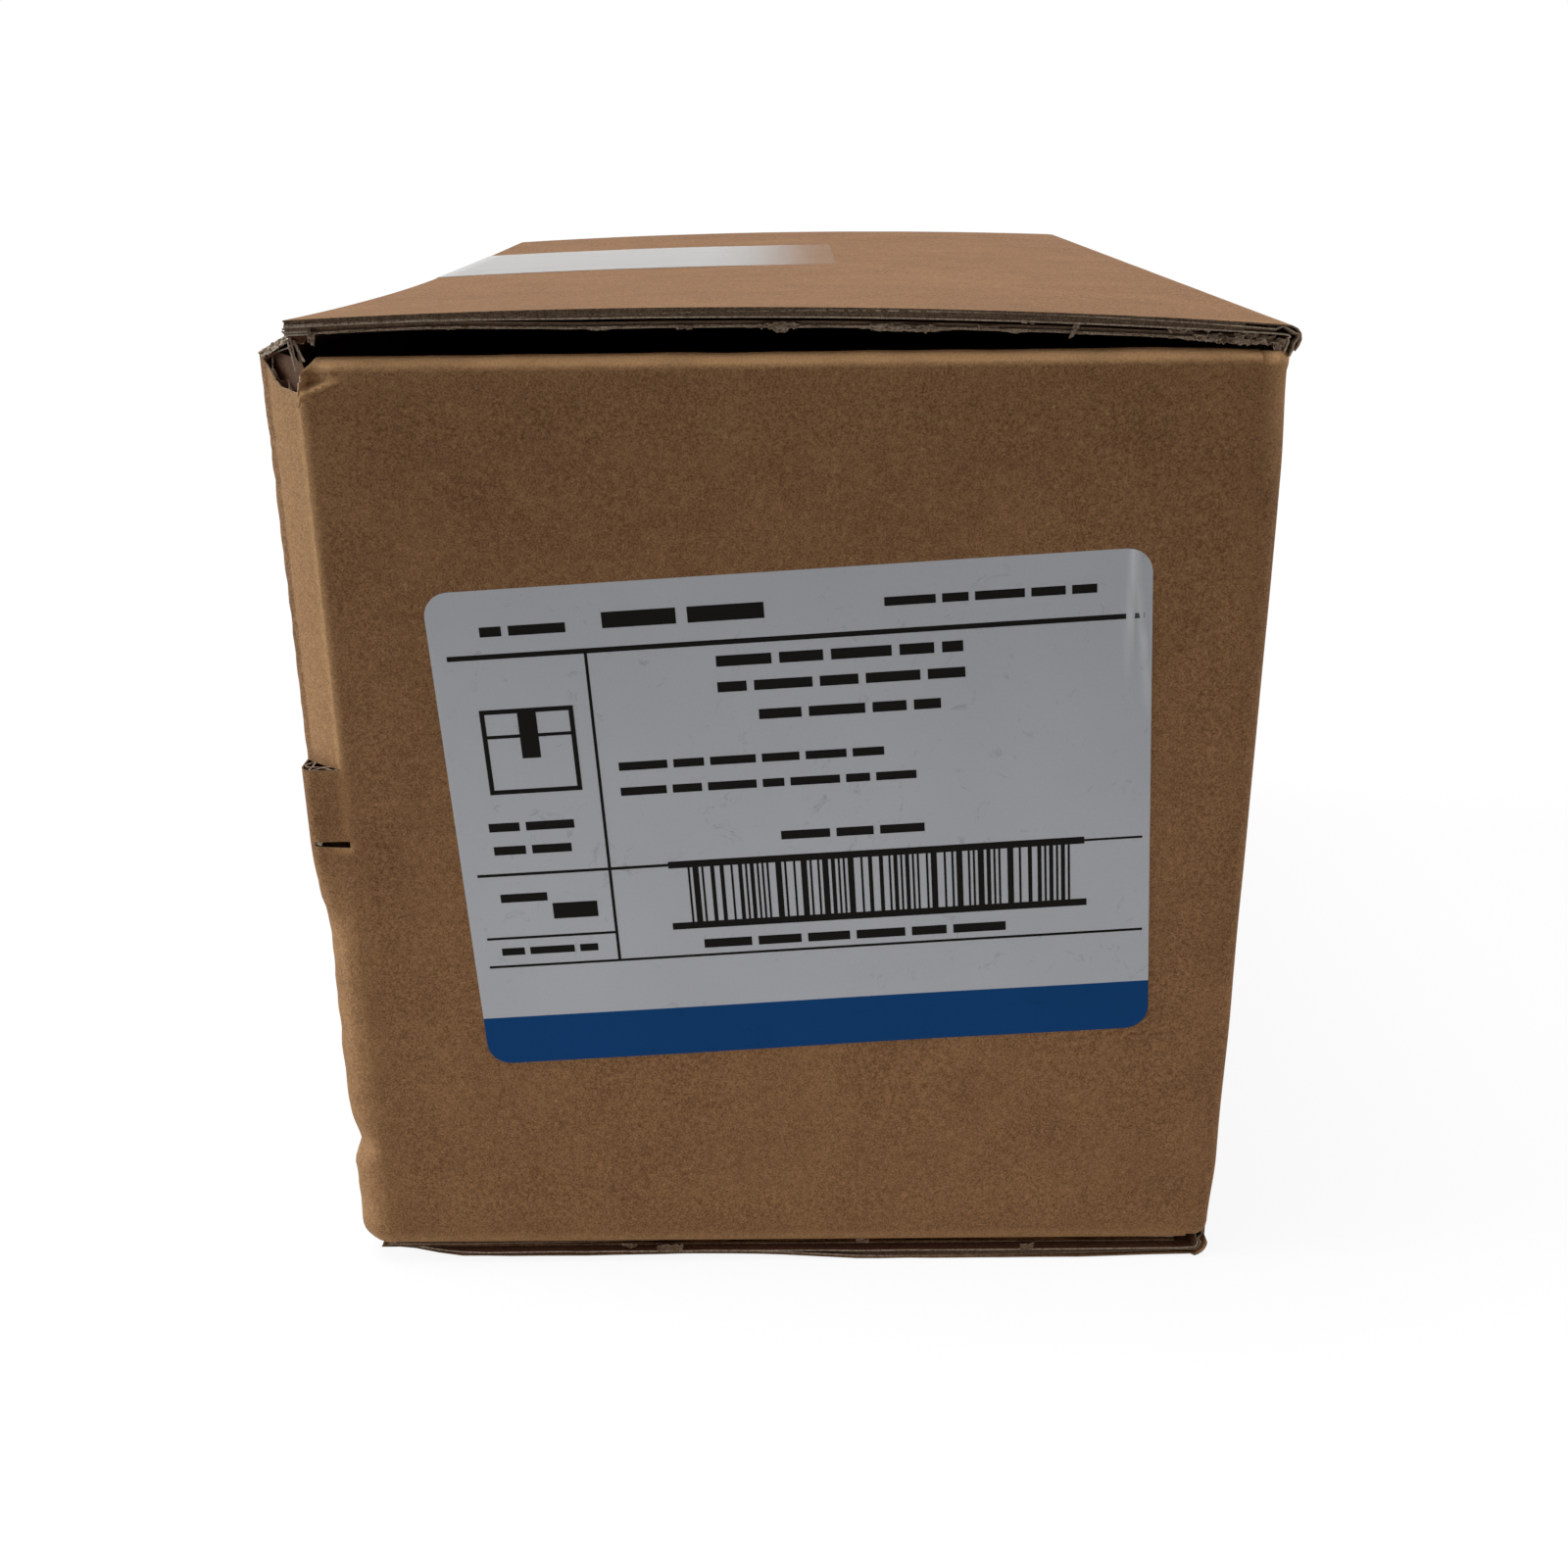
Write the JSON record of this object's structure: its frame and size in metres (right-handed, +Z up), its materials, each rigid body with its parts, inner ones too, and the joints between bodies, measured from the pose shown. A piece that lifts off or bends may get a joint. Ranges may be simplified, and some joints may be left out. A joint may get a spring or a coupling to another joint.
{
  "type": "corrugated carton",
  "caption": "Upright brown corrugated carton, flaps closed under clear tape, lid sprung open at the front, one knocked-in corner and a paper label on the front.",
  "frame": {"origin": "centre of the carton's footprint, on the ground", "axes": "+Z up, the labelled front wall faces -Y, +X to the right of someone who faces the label"},
  "size_m": [0.1394, 0.2151, 0.15],
  "materials": {
    "kraft_board": "matt kraft liner with fine flecks",
    "label_paper": "smooth white label paper",
    "clear_tape": "clear glossy film"
  },
  "bodies": {
    "root": {"carton": "kraft_board", "front_label": "label_paper", "sealing_tape": "clear_tape"}
  },
  "joints": []
}
